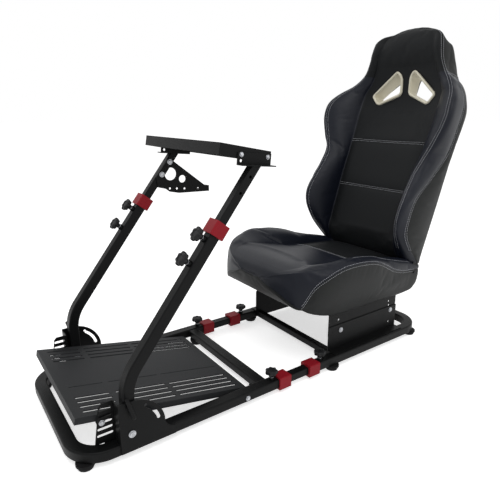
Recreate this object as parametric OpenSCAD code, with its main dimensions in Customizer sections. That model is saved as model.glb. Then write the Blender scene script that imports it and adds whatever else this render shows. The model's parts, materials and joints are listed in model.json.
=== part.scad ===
// Sim racing cockpit: telescoping square-tube base, tilting wheel column with a
// wheel deck, slotted pedal plate, shifter bracket and reclining bucket seat.
// Millimetres. +Z up, the driver faces -Y, the driver's left is +X.

/* [Base frame] */
// Outer width over the base rails
base_w = 515; // [480:1:560]
// Width of the base tube
tube_w = 36; // [34:1:42]
// Height of the base tube
tube_h = 32; // [30:1:38]
// Wall thickness of every outer tube
tube_t = 2; // [1.5:0.25:2.5]
// Radius on the long edges of the base tube
tube_r = 5; // [4:0.5:7]
// Centreline radius of the four base corners
bend_r = 82; // [70:1:100]
// Height of the rubber feet
foot_h = 17; // [10:1:25]
// Radius of the rubber feet
foot_r = 25; // [18:1:27]
// How far the feet stand out past the middle of the rail
foot_out = 6; // [0:1:8]
// Length of the front frame, from the front bar to the end of its rails
front_len = 682; // [670:1:720]
// Gap between the front and rear rails at rest
slide_gap = 90; // [86:1:140]
// Length of the rear frame, from the front of its rails to the rear bar
rear_len = 623; // [600:1:680]
// Width of the red end collars on the base
collar_w = 47; // [46:1:52]
// Length of the red end collars
collar_l = 46; // [36:1:50]

/* [Telescoping rails] */
// Width of the inner rail
inner_w = 30; // [26:1:31]
// Height of the inner rail
inner_h = 26; // [22:1:27]
// Length of inner rail inside the front rail
inner_front = 115; // [90:1:118]
// Length of inner rail inside the rear rail
inner_rear = 120; // [90:1:160]

/* [Wheel column] */
// Side of the lower square post tube
post_w = 32; // [30:1:36]
// Side of the upper square post tube
mast_w = 26; // [24:1:27]
// Distance of the column pivot from the front of the base
pivot_y = 150; // [140:1:170]
// Height of the column pivot above the floor
pivot_z = 74; // [70:1:82]
// Height of the bend in the post above the floor
post_bend_z = 216; // [204:1:240]
// Lean of the post from vertical
post_lean = 38; // [30:0.5:42]
// Centreline radius of the bend in the post
post_bend_r = 140; // [110:1:160]
// Length of the leaning part of the lower post
post_len = 466; // [440:1:500]
// Length of the upper post that shows above its collar
mast_out = 180; // [170:1:220]
// Length of the upper post inside the lower one
mast_in = 200; // [150:1:240]
// Width of the red collars on the posts
post_collar_w = 46; // [42:1:52]

/* [Wheel deck] */
// Distance from the outside of the base in to the wheel deck
deck_side = 27; // [20:1:38]
// Depth of the wheel deck
deck_d = 168; // [150:1:200]
// Height of the flanges round the deck
deck_flange = 32; // [26:1:40]
// Tilt of the deck toward the driver
deck_tilt = 10.5; // [0:0.5:14]

/* [Pedal plate] */
// Gap on each side of the pedal plate, beside its slotted panels
pedal_gap = 6.5; // [2:0.5:10]
// Length of the pedal plate
pedal_d = 526; // [480:1:540]
// Height of the lips round the pedal plate
pedal_lip = 19; // [15:1:24]
// Slope of the pedal plate
pedal_tilt = 11.5; // [6:0.5:14]
// Height of the front edge of the pedal plate
pedal_z = 142; // [134:1:149]

/* [Seat] */
// Distance between the two seat brackets
bracket_x = 426; // [400:2:440]
// Height of the seat brackets above the rail
bracket_h = 91; // [70:1:110]
// Length of the seat brackets
bracket_l = 369; // [340:1:400]
// Width of the seat cushion at its base
cushion_w = 450; // [430:1:480]
// How far each bolster flares out past the cushion's base
cushion_flare = 68; // [40:1:75]
// Length of the seat cushion
cushion_l = 669; // [650:1:690]
// Height of the underside of the cushion above the floor
cushion_z = 188; // [184:1:204]
// Thickness of the cushion at the crest of its bolsters
cushion_h = 210; // [190:1:230]
// Depth of the hollow between the bolsters
cushion_hollow = 46; // [20:1:60]
// Width of the backrest over its wings
back_w = 566; // [540:1:580]
// Width of the hollow between the wings
back_hollow_w = 370; // [340:1:390]
// Reach of the wings forward of the recliner axis
back_wing = 188; // [150:1:200]
// Height of the backrest above the recliner axis
back_h = 955; // [900:1:970]
// Recline of the backrest from vertical
back_tilt = 13; // [8:0.5:20]

/* [Hidden] */
$fn = 48;

// Base
rail_x = (base_w - tube_w) / 2;
rail_z = foot_h + tube_h / 2;
rail_top = foot_h + tube_h;
rear_y = front_len + slide_gap;
total_y = rear_y + rear_len;
front_cross_y = front_len - 88;
rear_cross_y = rear_y + 143;
cross_small = 28;
collar_end = 4;
rail_gap = 0.3;
front_knob_y = front_len - 60;
rear_knob_y = rear_y + 60;

// Fasteners
screw_r = 4;
bolt_r = 5;
run_gap = 0.06;
hole_gap = 0.2;
small_head = 6.5;
screw_head = 8;
wide_head = 9.5;
bolt_head = 10;
head_h = 5;
boss_r = 9;
boss_h = 8;
knob_r = 21;
knob_top = 35;

// Column
post_x = base_w / 2 - 0.5 - post_w / 2;
bend_swell = 0.05;
bend_lap = 0.5;
plate_t = 4;
plate_front_y = pivot_y - 31;
plate_r = 94;
arc_r = 78;
lock_r = 81;
lock_turn = -2;
spare_turn = 31;
lever_l = 56;
post_knob_upper = post_len - 55;
post_knob_lower = post_len - 129;
mast_top = post_len + collar_end + mast_out;
shifter_down = 34;
shifter_s = mast_top - shifter_down;

// Wheel deck
deck_w = base_w - 2 * deck_side;
sheet_t = 3;
deck_bracket_tilt = 5;
deck_bracket_h = 34;
bracket_front = 50;
bracket_back = 62;
deck_ahead = 54;
deck_rise = 56;
deck_holes = [
  [12 - bracket_front, deck_bracket_h - 6], [bracket_back - 12, deck_bracket_h - 10],
  [12 - bracket_front, deck_bracket_h - 22]
];

// Shifter bracket, from its upper bolt
shifter_pitch = 52;
shifter_shelf_w = 44;
shifter_shelf = [30, 154];
shifter_shelf_z = -111;
shifter_bolt_spacing = 80;
shifter_edge = 13;
shifter_outline = [
  [2, 12], [14, 2], [134, -90], [154, -94], [154, -115], [30, -111], [-6, -103], [-20, -92], [-50, -84]
];
shifter_holes = [
  [0.5, -41.5, 22], [45.5, -62, 13.3], [-4, -92, 4], [23, -94.5, 4], [53, -97.5, 4.2], [108, -101.5, 4.2]
];

// Seat brackets: holes from the lower front corner
bracket_y0 = rear_y + 123;
seat_holes = [[61, bracket_h - 23], [bracket_l - 34, bracket_h - 15], [bracket_l - 39, 27]];
pan_low = bracket_h - 36;
pan_flange = 40;
pan_holes = [[51, bracket_h + 18], [bracket_l - 43, bracket_h + 22], [bracket_l - 41, bracket_h + 5]];

// Seat
back_hinge_y = rear_y + 558;
back_hinge_z = cushion_z + 78;
back_top_y = 28;
recliner_x = cushion_w / 2;
recliner_t = 4;
recliner_gap = 0.5;
recliner_well = 56;
back_side = recliner_x + recliner_t + recliner_gap;
arm_t = 5;
arm_w = 32;
arm_top = 110;
dark = [0.14, 0.14, 0.15];
steel = [0.75, 0.76, 0.78];
red = [0.62, 0.13, 0.17];
back_reach = back_hinge_y + back_top_y * cos(back_tilt) + back_h * sin(back_tilt);
origin_y = max(total_y, back_reach) / 2;

// Puts a piece drawn from the front of the base into the part's frame
module place() {
  translate([0, -origin_y, 0]) children();
}

// Corner points of a rectangle with rounded corners
function round_rect(w, h, r, n = 4) = [
  for (q = [0:3])
    let (cx = (q == 0 || q == 3 ? 1 : -1) * (w / 2 - r), cy = (q < 2 ? 1 : -1) * (h / 2 - r))
      for (i = [0:n]) let (a = q * 90 + i * 90 / n) [cx + r * cos(a), cy + r * sin(a)]
];

// Points on an arc, from angle a to angle b
function arc(cx, cy, r, a, b, n = 12) = [
  for (i = [0:n]) let (t = a + (b - a) * i / n) [cx + r * cos(t), cy + r * sin(t)]
];

// Points on a smooth curve through the given points, n for each span
function smooth(p, n = 3) = concat([
  for (i = [0:len(p) - 2])
    let (a = p[max(i - 1, 0)], b = p[i], c = p[i + 1], d = p[min(i + 2, len(p) - 1)])
      for (k = [0:n - 1]) let (t = k / n)
        (2 * b + (c - a) * t + (2 * a - 5 * b + 4 * c - d) * t * t + (3 * b - a - 3 * c + d) * t * t * t) / 2
], [p[len(p) - 1]]);

// The same outline with its mirror image in the first axis
function both_sides(p) = concat(p, [for (i = [len(p) - 1:-1:0]) [-p[i][0], p[i][1]]]);

module tube_2d(w, h, r, t) {
  difference() {
    polygon(round_rect(w, h, r));
    polygon(round_rect(w - 2 * t, h - 2 * t, r - t));
  }
}

// Extrudes a profile along Y, from y0 to y1
module along_y(y0, y1) {
  translate([0, y1, 0]) rotate([90, 0, 0]) linear_extrude(y1 - y0) children();
}

// Extrudes an outline drawn in Y and Z across X, from x0 to x1
module across_x(x0, x1) {
  translate([x0, 0, 0]) rotate([90, 0, 90]) linear_extrude(x1 - x0) children();
}

// A bar lying along X
module bar_x(x0, x1, y, z, r) {
  translate([x0, y, z]) rotate([0, 90, 0]) cylinder(h = x1 - x0, r = r);
}

// A base frame: a bar, two bent corners and two rails, open at y_open
module base_u(y_open) {
  translate([0, tube_w / 2, rail_z]) {
    rotate([0, 90, 0]) rotate([0, 0, 90]) linear_extrude(2 * (rail_x - bend_r), center = true)
      tube_2d(tube_w, tube_h, tube_r, tube_t);
    for (side = [-1, 1]) mirror([side < 0 ? 1 : 0, 0, 0]) {
      translate([rail_x - bend_r, bend_r, 0]) rotate([0, 0, -90]) rotate_extrude(angle = 90)
        translate([bend_r, 0]) tube_2d(tube_w, tube_h, tube_r, tube_t);
      translate([rail_x, 0, 0]) along_y(bend_r, y_open - tube_w / 2)
        tube_2d(tube_w, tube_h, tube_r, tube_t);
    }
  }
}

// Screw hole and welded nut on top of a base rail
module rail_boss(y) {
  for (side = [-1, 1]) translate([side * rail_x, y, rail_top]) cylinder(h = boss_h, r = boss_r);
}

module rail_boss_hole(y) {
  for (side = [-1, 1]) translate([side * rail_x, y, rail_top - tube_t - 1])
    cylinder(h = boss_h + tube_t + 2, r = screw_r + run_gap);
}

module front_base_tube() {
  color(dark) place() difference() {
    union() {
      base_u(front_len);
      rail_boss(front_knob_y);
    }
    rail_boss_hole(front_knob_y);
    for (side = [-1, 1]) bar_x(side * rail_x - tube_w, side * rail_x + tube_w, pedal_bolt_y, pedal_bolt_z, screw_r + hole_gap);
  }
}

module rear_base_tube() {
  color(dark) place() difference() {
    union() {
      translate([0, total_y, 0]) mirror([0, 1, 0]) base_u(rear_len);
      rail_boss(rear_knob_y);
    }
    rail_boss_hole(rear_knob_y);
  }
}

module cross_tube(y, w, h) {
  x_end = rail_x - tube_w / 2;
  translate([0, y, rail_top - tube_r / 2 - h / 2]) rotate([0, 90, 0]) rotate([0, 0, 90])
    linear_extrude(2 * x_end, center = true) tube_2d(w, h, 4, tube_t);
}

module front_cross_tube() {
  color(dark) place() cross_tube(front_cross_y, tube_w, cross_small);
}

module rear_cross_tube() {
  color(dark) place() cross_tube(rear_cross_y, cross_small, cross_small - 4);
}

// Rubber foot: a tapered cup under a wider disc that meets the tube at top
module foot(x, y, top) {
  rim = foot_h - 7;
  translate([x, y, 0]) {
    cylinder(h = rim, r1 = foot_r - 5, r2 = foot_r - 1.5);
    translate([0, 0, rim]) cylinder(h = top - rim, r = foot_r);
  }
}

// Feet under a bent corner, a turn of a past the start of the bend
module corner_feet(y_bar, turn_back, a) {
  for (side = [-1, 1]) foot(
    side * (rail_x - bend_r + (bend_r + foot_out) * cos(a)),
    y_bar + turn_back * (tube_w / 2 + bend_r - (bend_r + foot_out) * sin(a)), foot_h
  );
}

module front_feet() {
  color(dark) place() {
    corner_feet(0, 1, 45);
    for (side = [-1, 1]) foot(side * (rail_x - 42), front_cross_y, rail_top - tube_r / 2 - cross_small);
  }
}

module rear_feet() {
  color(dark) place() {
    corner_feet(total_y, -1, 30);
    for (side = [-1, 1]) foot(side * (rail_x + foot_out), rear_cross_y - 27, foot_h);
  }
}

// Red collar: a sleeve over the tube's end with an end wall round the inner rail
module collar(w, h, tw, th, tr, iw, ih, len) {
  difference() {
    along_y(collar_end - len, collar_end) polygon(round_rect(w, h, 4));
    along_y(collar_end - len - 1, 0) polygon(round_rect(tw + 0.2, th + 0.2, tr));
    along_y(-1, collar_end + 1) polygon(round_rect(iw + 2 * rail_gap, ih + 2 * rail_gap, 3));
  }
}

module front_collars() {
  color(red) place() for (side = [-1, 1]) translate([side * rail_x, front_len, rail_z])
    collar(collar_w, collar_w - 4, tube_w, tube_h, tube_r, inner_w, inner_h, collar_l);
}

module rear_collars() {
  color(red) place() for (side = [-1, 1]) translate([side * rail_x, rear_y, rail_z]) mirror([0, 1, 0])
    collar(collar_w, collar_w - 4, tube_w, tube_h, tube_r, inner_w, inner_h, collar_l);
}

module inner_rail(side) {
  color(dark) place() translate([side * rail_x, 0, rail_z])
    along_y(front_len - inner_front, rear_y + inner_rear) tube_2d(inner_w, inner_h, 3, tube_t);
}

// Star knob, standing on a face at z = 0, its screw through the wall below
module star_knob() {
  tip = tube_t + 1 - rail_gap;
  translate([0, 0, -tip]) cylinder(h = tip + boss_h + 1, r = screw_r);
  translate([0, 0, boss_h + 0.3]) cylinder(h = 14, r = 7);
  translate([0, 0, knob_top - 14]) linear_extrude(14) {
    circle(r = knob_r - 6);
    for (i = [0:5]) rotate([0, 0, i * 60]) translate([knob_r - 6, 0]) circle(r = 6);
  }
}

module base_knob(side, y) {
  color(dark) place() translate([side * rail_x, y, rail_top]) star_knob();
}

// Pedal plate's frame: origin at the middle of its front top edge
pedal_y = 27;

module in_pedal() {
  translate([0, pedal_y, pedal_z]) rotate([-pedal_tilt, 0, 0]) children();
}

pedal_bolt_y = pedal_y + (pedal_d - 22) * cos(pedal_tilt) - 12 * sin(pedal_tilt);
pedal_bolt_z = pedal_z - (pedal_d - 22) * sin(pedal_tilt) - 12 * cos(pedal_tilt);
bracket_slot_pitch = 18.5;
bracket_slot_z = rail_top + 23;
panel_x = rail_x - tube_w / 2 - 4;
pedal_w = 2 * (panel_x - pedal_gap);
pedal_front_bolt_y = pivot_y - 62;
pedal_front_bolt_z = bracket_slot_z + 2 * bracket_slot_pitch;

module tray(w, d, lip, t) {
  difference() {
    translate([-w / 2, 0, -lip]) cube([w, d, lip]);
    translate([-w / 2 + t, t, -lip - 1]) cube([w - 2 * t, d - 2 * t, lip + 1 - t]);
  }
}

// A slot through a sheet, running along Y from y0 to y1
module slot_y(x, y0, y1, w) {
  translate([x, 0, -6]) {
    translate([-w / 2, y0 + w / 2, 0]) cube([w, y1 - y0 - w, 8]);
    for (y = [y0 + w / 2, y1 - w / 2]) translate([0, y, 0]) cylinder(h = 8, r = w / 2);
  }
}

slot_rows = [115, 138, 162, 186];
slot_cuts = [[26, 122], [138, 292], [304, pedal_d - 19]];
middle_slot = 54;

module pedal_plate() {
  color(dark) place() difference() {
    union() {
      in_pedal() tray(pedal_w, pedal_d, pedal_lip, sheet_t);
      for (side = [-1, 1]) across_x(side * pedal_w / 2 - (side > 0 ? sheet_t : 0),
                                    side * pedal_w / 2 + (side > 0 ? 0 : sheet_t))
        polygon([
          [pedal_front_bolt_y - 16, pedal_z - 20],
          [pedal_front_bolt_y - 10, pedal_front_bolt_z - 10],
          [pedal_front_bolt_y + 10, pedal_front_bolt_z - 10],
          [pedal_front_bolt_y + 16, pedal_z - 25]
        ]);
    }
    for (side = [-1, 1]) {
      bar_x(side * pedal_w / 2 - 6, side * pedal_w / 2 + 6, pedal_front_bolt_y, pedal_front_bolt_z, screw_r + hole_gap);
      bar_x(side * pedal_w / 2 - 6, side * pedal_w / 2 + 6, pedal_bolt_y, pedal_bolt_z, screw_r + hole_gap);
    }
    in_pedal() for (c = slot_cuts) {
      for (x = slot_rows, side = [-1, 1]) slot_y(side * x, c[0], c[1], 7);
      slot_y(middle_slot, c[0], c[1], 3);
    }
  }
}

// Bolt along X with a round head at the outer end and a nut at the inner end
module bolt_x(side, x_head, x_nut, y, z, r, head_r, head_h) {
  mirror([side < 0 ? 1 : 0, 0, 0]) {
    bar_x(x_nut - head_h, x_head, y, z, r);
    bar_x(x_head, x_head + head_h, y, z, head_r);
    bar_x(x_nut - head_h, x_nut, y, z, head_r);
  }
}

module pedal_bolts() {
  color(steel) place() for (side = [-1, 1]) {
    bolt_x(side, panel_x + sheet_t, pedal_w / 2 - sheet_t, pedal_front_bolt_y, pedal_front_bolt_z, screw_r, screw_head, head_h);
    bolt_x(side, base_w / 2, pedal_w / 2 - sheet_t, pedal_bolt_y, pedal_bolt_z, screw_r, screw_head, head_h - 1);
    mirror([side < 0 ? 1 : 0, 0, 0]) difference() {
      bar_x(pedal_w / 2, rail_x - tube_w / 2, pedal_bolt_y, pedal_bolt_z, 7);
      bar_x(pedal_w / 2 - 1, rail_x, pedal_bolt_y, pedal_bolt_z, screw_r - 1);
    }
  }
}

// Side plate that carries the column pivot, bent in to the slotted pedal bracket
module side_plate(side) {
  x_out = base_w / 2;
  plate_bottom = foot_h + tube_r;
  panel_top = pivot_z + plate_r - 5;
  skirt_y = bend_r + tube_w / 2 - 10;
  color(dark) place() mirror([side < 0 ? 1 : 0, 0, 0]) difference() {
    union() {
      across_x(x_out, x_out + plate_t) polygon(concat(
        [[plate_front_y, plate_bottom], [plate_front_y, pivot_z + plate_r]],
        arc(pivot_y, pivot_z, plate_r, 90, 8),
        arc(pivot_y + plate_r + 29, rail_top + 30, 30, 180, 270),
        [[pivot_y + plate_r + 29, plate_bottom]]
      ));
      translate([panel_x, plate_front_y, rail_top]) cube([x_out + plate_t - panel_x, sheet_t, panel_top - rail_top]);
      across_x(panel_x, panel_x + sheet_t) polygon([
        [plate_front_y + sheet_t, rail_top - 8], [plate_front_y + sheet_t, panel_top],
        [plate_front_y - 28, panel_top], [plate_front_y - 36, panel_top - 8], [plate_front_y - 53, rail_top],
        [skirt_y, rail_top], [skirt_y, rail_top - 8]
      ]);
    }
    bar_x(x_out - 1, x_out + plate_t + 1, pivot_y, pivot_z, bolt_r + 0.1);
    for (a = [lock_turn, spare_turn])
      bar_x(x_out - 1, x_out + plate_t + 1, pivot_y + lock_r * sin(a), pivot_z + lock_r * cos(a), screw_r + run_gap);
    across_x(x_out - 1, x_out + plate_t + 1) polygon(concat(
      arc(pivot_y, pivot_z, arc_r + 4.5, 54, 13), arc(pivot_y, pivot_z, arc_r - 4.5, 13, 54)
    ));
    for (a = [13, 54]) bar_x(x_out - 1, x_out + plate_t + 1, pivot_y + arc_r * cos(a), pivot_z + arc_r * sin(a), 4.5);
    for (i = [0:4]) across_x(panel_x - 1, panel_x + sheet_t + 1) {
      z = bracket_slot_z + i * bracket_slot_pitch;
      y0 = plate_front_y - 42 + i * 2.5;
      translate([y0, z - 4.2]) square([plate_front_y - 8 - y0, 8.4]);
    }
    for (i = [0:4]) {
      z = bracket_slot_z + i * bracket_slot_pitch;
      y0 = plate_front_y - 42 + i * 2.5;
      for (y = [y0, plate_front_y - 8]) bar_x(panel_x - 1, panel_x + sheet_t + 1, y, z, 4.2);
    }
  }
}

module pivot_bolts() {
  color(steel) place() for (side = [-1, 1])
    bolt_x(side, base_w / 2 + plate_t, post_x - post_w / 2 - 0.5, pivot_y, pivot_z, bolt_r, bolt_head, head_h + 1);
}

// T-handle screw that locks the column upright
module lock_lever(side) {
  x_out = base_w / 2 + plate_t;
  color(dark) place() mirror([side < 0 ? 1 : 0, 0, 0])
    translate([0, pivot_y + lock_r * sin(lock_turn), pivot_z + lock_r * cos(lock_turn)]) {
      bar_x(base_w / 2 - 0.2, x_out + 9, 0, 0, screw_r);
      bar_x(x_out + 0.5, x_out + 5, 0, 0, screw_head);
      translate([x_out + 11, 0, 0]) rotate([15, 0, 0]) translate([0, 0, -lever_l / 2]) {
        cylinder(h = lever_l, r1 = 6.2, r2 = 4.8);
        sphere(r = 6.2);
        translate([0, 0, lever_l]) sphere(r = 4.8);
      }
    }
}

// Column frame: origin at the bend, +Z along the leaning post
module in_column() {
  translate([0, pivot_y, post_bend_z]) rotate([-post_lean, 0, 0]) children();
}

module lower_post(side) {
  tangent = post_bend_r * tan(post_lean / 2);
  foot_end = pivot_z - 14;
  color(dark) place() translate([side * post_x, 0, 0]) difference() {
    union() {
      translate([0, pivot_y + post_bend_r, post_bend_z - tangent]) rotate([90, 0, 90]) rotate([0, 0, 180 - post_lean]) {
        rotate_extrude(angle = post_lean) translate([post_bend_r, 0])
          tube_2d(post_w + 2 * bend_swell, post_w + 2 * bend_swell, 4, tube_t + 2 * bend_swell);
        translate([post_bend_r, bend_lap, 0]) rotate([90, 0, 0]) linear_extrude(post_len - tangent + bend_lap)
          tube_2d(post_w, post_w, 4, tube_t);
        rotate([0, 0, post_lean]) translate([post_bend_r, -bend_lap, 0]) rotate([-90, 0, 0])
          linear_extrude(post_bend_z - tangent - foot_end + bend_lap) tube_2d(post_w, post_w, 4, tube_t);
      }
      in_column() for (s = [post_knob_upper, post_knob_lower])
        translate([0, 1 - post_w / 2, s]) rotate([90, 0, 0]) cylinder(h = boss_h + 1, r = boss_r);
    }
    bar_x(-post_w, post_w, pivot_y, pivot_z, bolt_r + run_gap);
    in_column() for (s = [post_knob_upper, post_knob_lower])
      translate([0, -post_w / 2 + tube_t + 1, s]) rotate([90, 0, 0]) cylinder(h = boss_h + tube_t + 2, r = screw_r + run_gap);
  }
}

module post_collars() {
  color(red) place() for (side = [-1, 1]) in_column() translate([side * post_x, 0, post_len]) rotate([90, 0, 0])
    collar(post_collar_w, post_collar_w, post_w, post_w, 4, mast_w, mast_w, collar_l - 6);
}

module upper_post(side) {
  color(dark) place() difference() {
    in_column() translate([side * post_x, 0, post_len - mast_in])
      linear_extrude(mast_in + mast_out + 40) tube_2d(mast_w, mast_w, 3, tube_t);
    in_deck_bracket() translate([-base_w, -200, 0]) cube([2 * base_w, 500, 200]);
    in_column() for (s = [shifter_s, shifter_s - shifter_pitch])
      bar_x(side * post_x - mast_w, side * post_x + mast_w, 0, s, screw_r + hole_gap);
  }
}

module post_knob(side, s) {
  color(dark) place() in_column() translate([side * post_x, -post_w / 2, s]) rotate([90, 0, 0]) star_knob();
}

// Frame of the deck brackets: origin on the underside of their flanges, over the post
bracket_y = pivot_y + mast_top * sin(post_lean);
bracket_z = post_bend_z + mast_top * cos(post_lean);

module in_deck_bracket() {
  translate([0, bracket_y, bracket_z]) rotate([-deck_bracket_tilt, 0, 0]) children();
}

module deck_bracket(side) {
  color(dark) place() in_deck_bracket() mirror([side < 0 ? 1 : 0, 0, 0]) difference() {
    union() {
      translate([deck_w / 2, -bracket_front, 0]) cube([post_x + post_w / 2 + 2 - deck_w / 2, bracket_front + bracket_back, sheet_t]);
      translate([deck_w / 2, -bracket_front, 0]) cube([sheet_t, bracket_front + bracket_back, deck_bracket_h]);
    }
    for (p = deck_holes) bar_x(deck_w / 2 - 1, deck_w / 2 + sheet_t + 1, p[0], p[1], screw_r + hole_gap);
  }
}

// Deck frame: origin at the middle of the front top edge
module in_deck() {
  in_deck_bracket() translate([0, -bracket_front - deck_ahead, deck_rise]) rotate([-deck_tilt + deck_bracket_tilt, 0, 0]) children();
}

module wheel_deck() {
  color(dark) place() difference() {
    in_deck() tray(deck_w, deck_d, deck_flange, sheet_t);
    in_deck_bracket() for (side = [-1, 1], i = [0, 1])
      bar_x(side * deck_w / 2 - 6, side * deck_w / 2 + 6, deck_holes[i][0], deck_holes[i][1], screw_r + hole_gap);
    in_deck() for (x = [-35, 35], y = [40, 110]) translate([x, y, -8]) cylinder(h = 10, r = 3.5);
  }
}

module deck_bolts() {
  color(steel) place() in_deck_bracket() for (side = [-1, 1], i = [0, 1])
    bolt_x(side, deck_w / 2 + sheet_t, deck_w / 2 - sheet_t, deck_holes[i][0], deck_holes[i][1], screw_r, small_head, head_h);
}

// Shifter bracket: a pierced plate on the right post with a shelf turned outward
shifter_x = -post_x + mast_w / 2;
shifter_y = pivot_y + shifter_s * sin(post_lean);
shifter_z = post_bend_z + shifter_s * cos(post_lean);
shifter_bolts_at = [
  [0, 0], [-shifter_pitch * sin(post_lean), -shifter_pitch * cos(post_lean)]
];

// Points along the post's front edge, beside the bolts
function shifter_front(down) = [
  -down * sin(post_lean) - shifter_edge * cos(post_lean), -down * cos(post_lean) + shifter_edge * sin(post_lean)
];

module shifter_bracket() {
  color(dark) place() translate([shifter_x, shifter_y, shifter_z]) difference() {
    union() {
      across_x(0, sheet_t) polygon(concat([shifter_front(shifter_pitch + 20), shifter_front(0)], shifter_outline));
      translate([-shifter_shelf_w, shifter_shelf[0], shifter_shelf_z])
        cube([shifter_shelf_w + sheet_t, shifter_shelf[1] - shifter_shelf[0], sheet_t]);
    }
    for (p = shifter_bolts_at) bar_x(-1, sheet_t + 1, p[0], p[1], screw_r + hole_gap);
    for (p = shifter_holes) bar_x(-1, sheet_t + 1, p[0], p[1], p[2]);
    for (i = [-1, 1])
      translate([-shifter_shelf_w / 2, (shifter_shelf[0] + shifter_shelf[1] + i * shifter_bolt_spacing) / 2, shifter_shelf_z - 4])
        cylinder(h = 10, r = 3.5);
  }
}

module shifter_bolts() {
  color(steel) place() for (p = shifter_bolts_at)
    bolt_x(-1, post_x + mast_w / 2, post_x - mast_w / 2 - sheet_t, shifter_y + p[0], shifter_z + p[1],
           screw_r, wide_head, head_h);
}

module seat_bracket(side) {
  color(dark) place() mirror([side < 0 ? 1 : 0, 0, 0]) difference() {
    union() {
      translate([bracket_x / 2, bracket_y0, rail_top]) cube([sheet_t, bracket_l, bracket_h]);
      translate([bracket_x / 2, bracket_y0, rail_top]) cube([rail_x + 10 - bracket_x / 2, bracket_l, sheet_t]);
    }
    for (p = seat_holes) bar_x(bracket_x / 2 - 1, bracket_x / 2 + sheet_t + 1, bracket_y0 + p[0], rail_top + p[1], screw_r + hole_gap);
  }
}

module seat_pan_brackets() {
  color(dark) place() for (side = [-1, 1]) mirror([side < 0 ? 1 : 0, 0, 0]) difference() {
    union() {
      translate([bracket_x / 2 - sheet_t, bracket_y0 + 2, rail_top + pan_low])
        cube([sheet_t, bracket_l - 4, cushion_z - rail_top - pan_low]);
      translate([bracket_x / 2 - pan_flange, bracket_y0 + 2, cushion_z - sheet_t])
        cube([pan_flange, bracket_l - 4, sheet_t]);
    }
    for (p = concat([seat_holes[0], seat_holes[1]], pan_holes))
      bar_x(bracket_x / 2 - sheet_t - 1, bracket_x / 2 + 1, bracket_y0 + p[0], rail_top + p[1], screw_r + hole_gap);
  }
}

module seat_bolts() {
  color(steel) place() for (side = [-1, 1], i = [0, 1])
    bolt_x(side, bracket_x / 2 + sheet_t, bracket_x / 2 - sheet_t, bracket_y0 + seat_holes[i][0],
           rail_top + seat_holes[i][1], screw_r, wide_head, head_h);
}

cushion_y = rear_y - 60;
cushion_top = cushion_z + cushion_h;
cushion_back = cushion_y + cushion_l;

// The cushion seen from the front, half of it
cushion_front_view = smooth([
  [cushion_w / 2, cushion_z - 1], [cushion_w / 2 + 3, cushion_z + 56],
  [cushion_w / 2 + 0.12 * cushion_flare, cushion_z + 101], [cushion_w / 2 + 0.53 * cushion_flare, cushion_z + 142],
  [cushion_w / 2 + 0.82 * cushion_flare, cushion_z + 174], [cushion_w / 2 + cushion_flare, cushion_top - 16],
  [cushion_w / 2 + 0.86 * cushion_flare, cushion_top - 2], [cushion_w / 2 + 0.35 * cushion_flare, cushion_top + 1],
  [cushion_w / 2 - 15, cushion_top - 14], [cushion_w / 2 - 42, cushion_top - cushion_hollow - 6]
]);

// The crest of the bolsters, the nose and the underside, seen from the side
cushion_side_view = concat(
  smooth([
    [cushion_y + 45, cushion_z + 69], [cushion_y + 12, cushion_z + 104], [cushion_y, cushion_z + 138],
    [cushion_y + 14, cushion_z + 168], [cushion_y + 60, cushion_top - 19], [cushion_y + 130, cushion_top - 6],
    [cushion_y + 220, cushion_top], [cushion_y + 350, cushion_top - 17], [cushion_y + 450, cushion_top - 50],
    [cushion_y + 540, cushion_top - 88], [cushion_back - 70, cushion_z + 96], [cushion_back, cushion_z + 84]
  ]),
  [[cushion_back - 32, cushion_z], [bracket_y0 - 20, cushion_z]]
);

// The hollow between the bolsters, seen from the side
cushion_hollow_view = concat(
  smooth([
    [cushion_y + 20, cushion_top + 20], [cushion_y + 60, cushion_top - 24], [cushion_y + 130, cushion_top - 32],
    [cushion_y + 230, cushion_top - cushion_hollow - 6], [cushion_y + 350, cushion_top - cushion_hollow - 26],
    [cushion_y + 460, cushion_top - cushion_hollow - 36], [cushion_back + 5, cushion_top - cushion_hollow - 44]
  ]),
  [[cushion_back + 5, cushion_top + 20]]
);

module seat_cushion() {
  color([0.2, 0.2, 0.22]) place() difference() {
    intersection() {
      across_x(-cushion_w, cushion_w) polygon(cushion_side_view);
      translate([0, cushion_back + 10, 0]) rotate([90, 0, 0]) linear_extrude(cushion_l + 20)
        polygon(both_sides(cushion_front_view));
    }
    across_x(40 - cushion_w / 2, cushion_w / 2 - 40) polygon(cushion_hollow_view);
    bar_x(22 - cushion_w / 2, cushion_w / 2 - 22, back_hinge_y, back_hinge_z, recliner_well);
    translate([22 - cushion_w / 2, back_hinge_y, back_hinge_z]) cube([cushion_w - 44, 100, 100]);
    for (side = [0, 1]) mirror([side, 0, 0]) translate([recliner_x, back_hinge_y - 70, cushion_z + 10])
      cube([cushion_w, 200, cushion_h]);
  }
}

// Backrest frame: origin on the recliner axis, +Z up the back
module in_back() {
  translate([0, back_hinge_y, back_hinge_z]) rotate([-back_tilt, 0, 0]) children();
}

// The back seen from the front, half of it, above the recliner arms
back_front_view = smooth([
  [back_side, 115], [back_w / 2 - 36, 150], [back_w / 2 - 29, 210], [back_w / 2 - 27, 300], [back_w / 2 - 26, 400],
  [back_w / 2 - 19, 470], [back_w / 2 - 3, 555], [back_w / 2, 615], [back_w / 2 - 14, 668], [back_w / 2 - 52, 712],
  [190, 750], [172, 790], [160, 840], [143, 890], [105, back_h - 22], [50, back_h - 3], [0, back_h]
]);

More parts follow.
